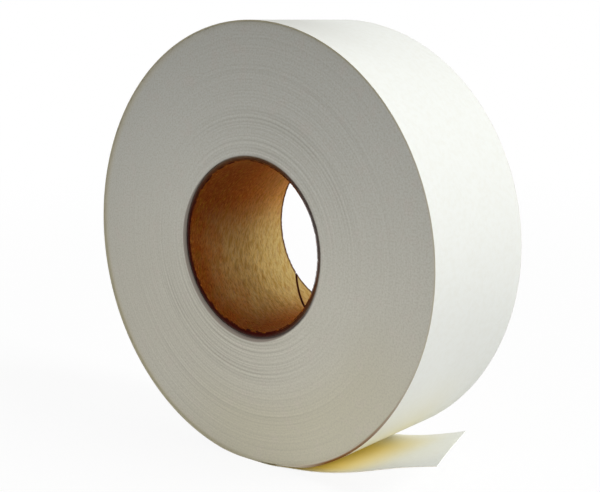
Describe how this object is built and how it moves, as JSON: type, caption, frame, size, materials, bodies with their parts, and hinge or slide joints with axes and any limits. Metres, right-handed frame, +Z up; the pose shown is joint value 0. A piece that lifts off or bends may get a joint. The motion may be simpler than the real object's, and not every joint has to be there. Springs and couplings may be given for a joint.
{
  "type": "roll of drywall joint tape",
  "caption": "Roll of white paper drywall joint tape wound on a spiral board core, standing on its rim, with the loose end of the last turn lifting off at the foot.",
  "frame": {"origin": "middle of the foot that the roll stands on, on the surface under it", "axes": "+Z up; Y along the roll's axis, with the side face that the picture shows at -Y; the loose end leaves the foot towards +X"},
  "size_m": [0.1618, 0.052, 0.1592],
  "materials": {
    "white_paper": "matte, faintly fibrous",
    "paper_edges": "matte, with fine concentric rings",
    "kraft_board": "matte kraft with fine grain",
    "dark_board": "matte, cut edge",
    "dried_glue": "dry, satin"
  },
  "bodies": {
    "loose_turn": {"last_turn": "white_paper"},
    "roll": {"core_liner_ply": "kraft_board", "core_second_ply": "dark_board", "core_third_ply": "dark_board", "core_cover_ply": "dark_board", "start_glue": "dried_glue", "wound_turns": "paper_edges"},
    "tail_bend": {"tail_bend": "white_paper"},
    "tail_run": {"tail_run": "white_paper"},
    "tail_tip": {"tail_tip": "white_paper"}
  },
  "joints": [
    {"name": "unwind", "type": "hinge", "parent": "loose_turn", "child": "roll", "pos_m": [0, 0, 0.07949], "axis": [0, 1, 0], "continuous": true},
    {"name": "tail_curl", "type": "hinge", "parent": "loose_turn", "child": "tail_bend", "pos_m": [0.02388, 0, 0.00194], "axis": [0, -1, 0], "range_deg": [-7, 10], "stiffness_Nm_per_rad": 0.03, "springref_deg": 0.31},
    {"name": "tail_curl_middle", "type": "hinge", "parent": "tail_bend", "child": "tail_run", "pos_m": [0.04105, 0, 0.0052], "axis": [0, -1, 0], "range_deg": [-7, 10]},
    {"name": "tail_curl_tip", "type": "hinge", "parent": "tail_run", "child": "tail_tip", "pos_m": [0.05681, 0, 0.01002], "axis": [0, -1, 0], "range_deg": [-8.4, 12]}
  ],
  "couplings": [
    {"joint": "tail_curl_middle", "follows": "tail_curl", "ratio": 1},
    {"joint": "tail_curl_tip", "follows": "tail_curl", "ratio": 1.2}
  ]
}
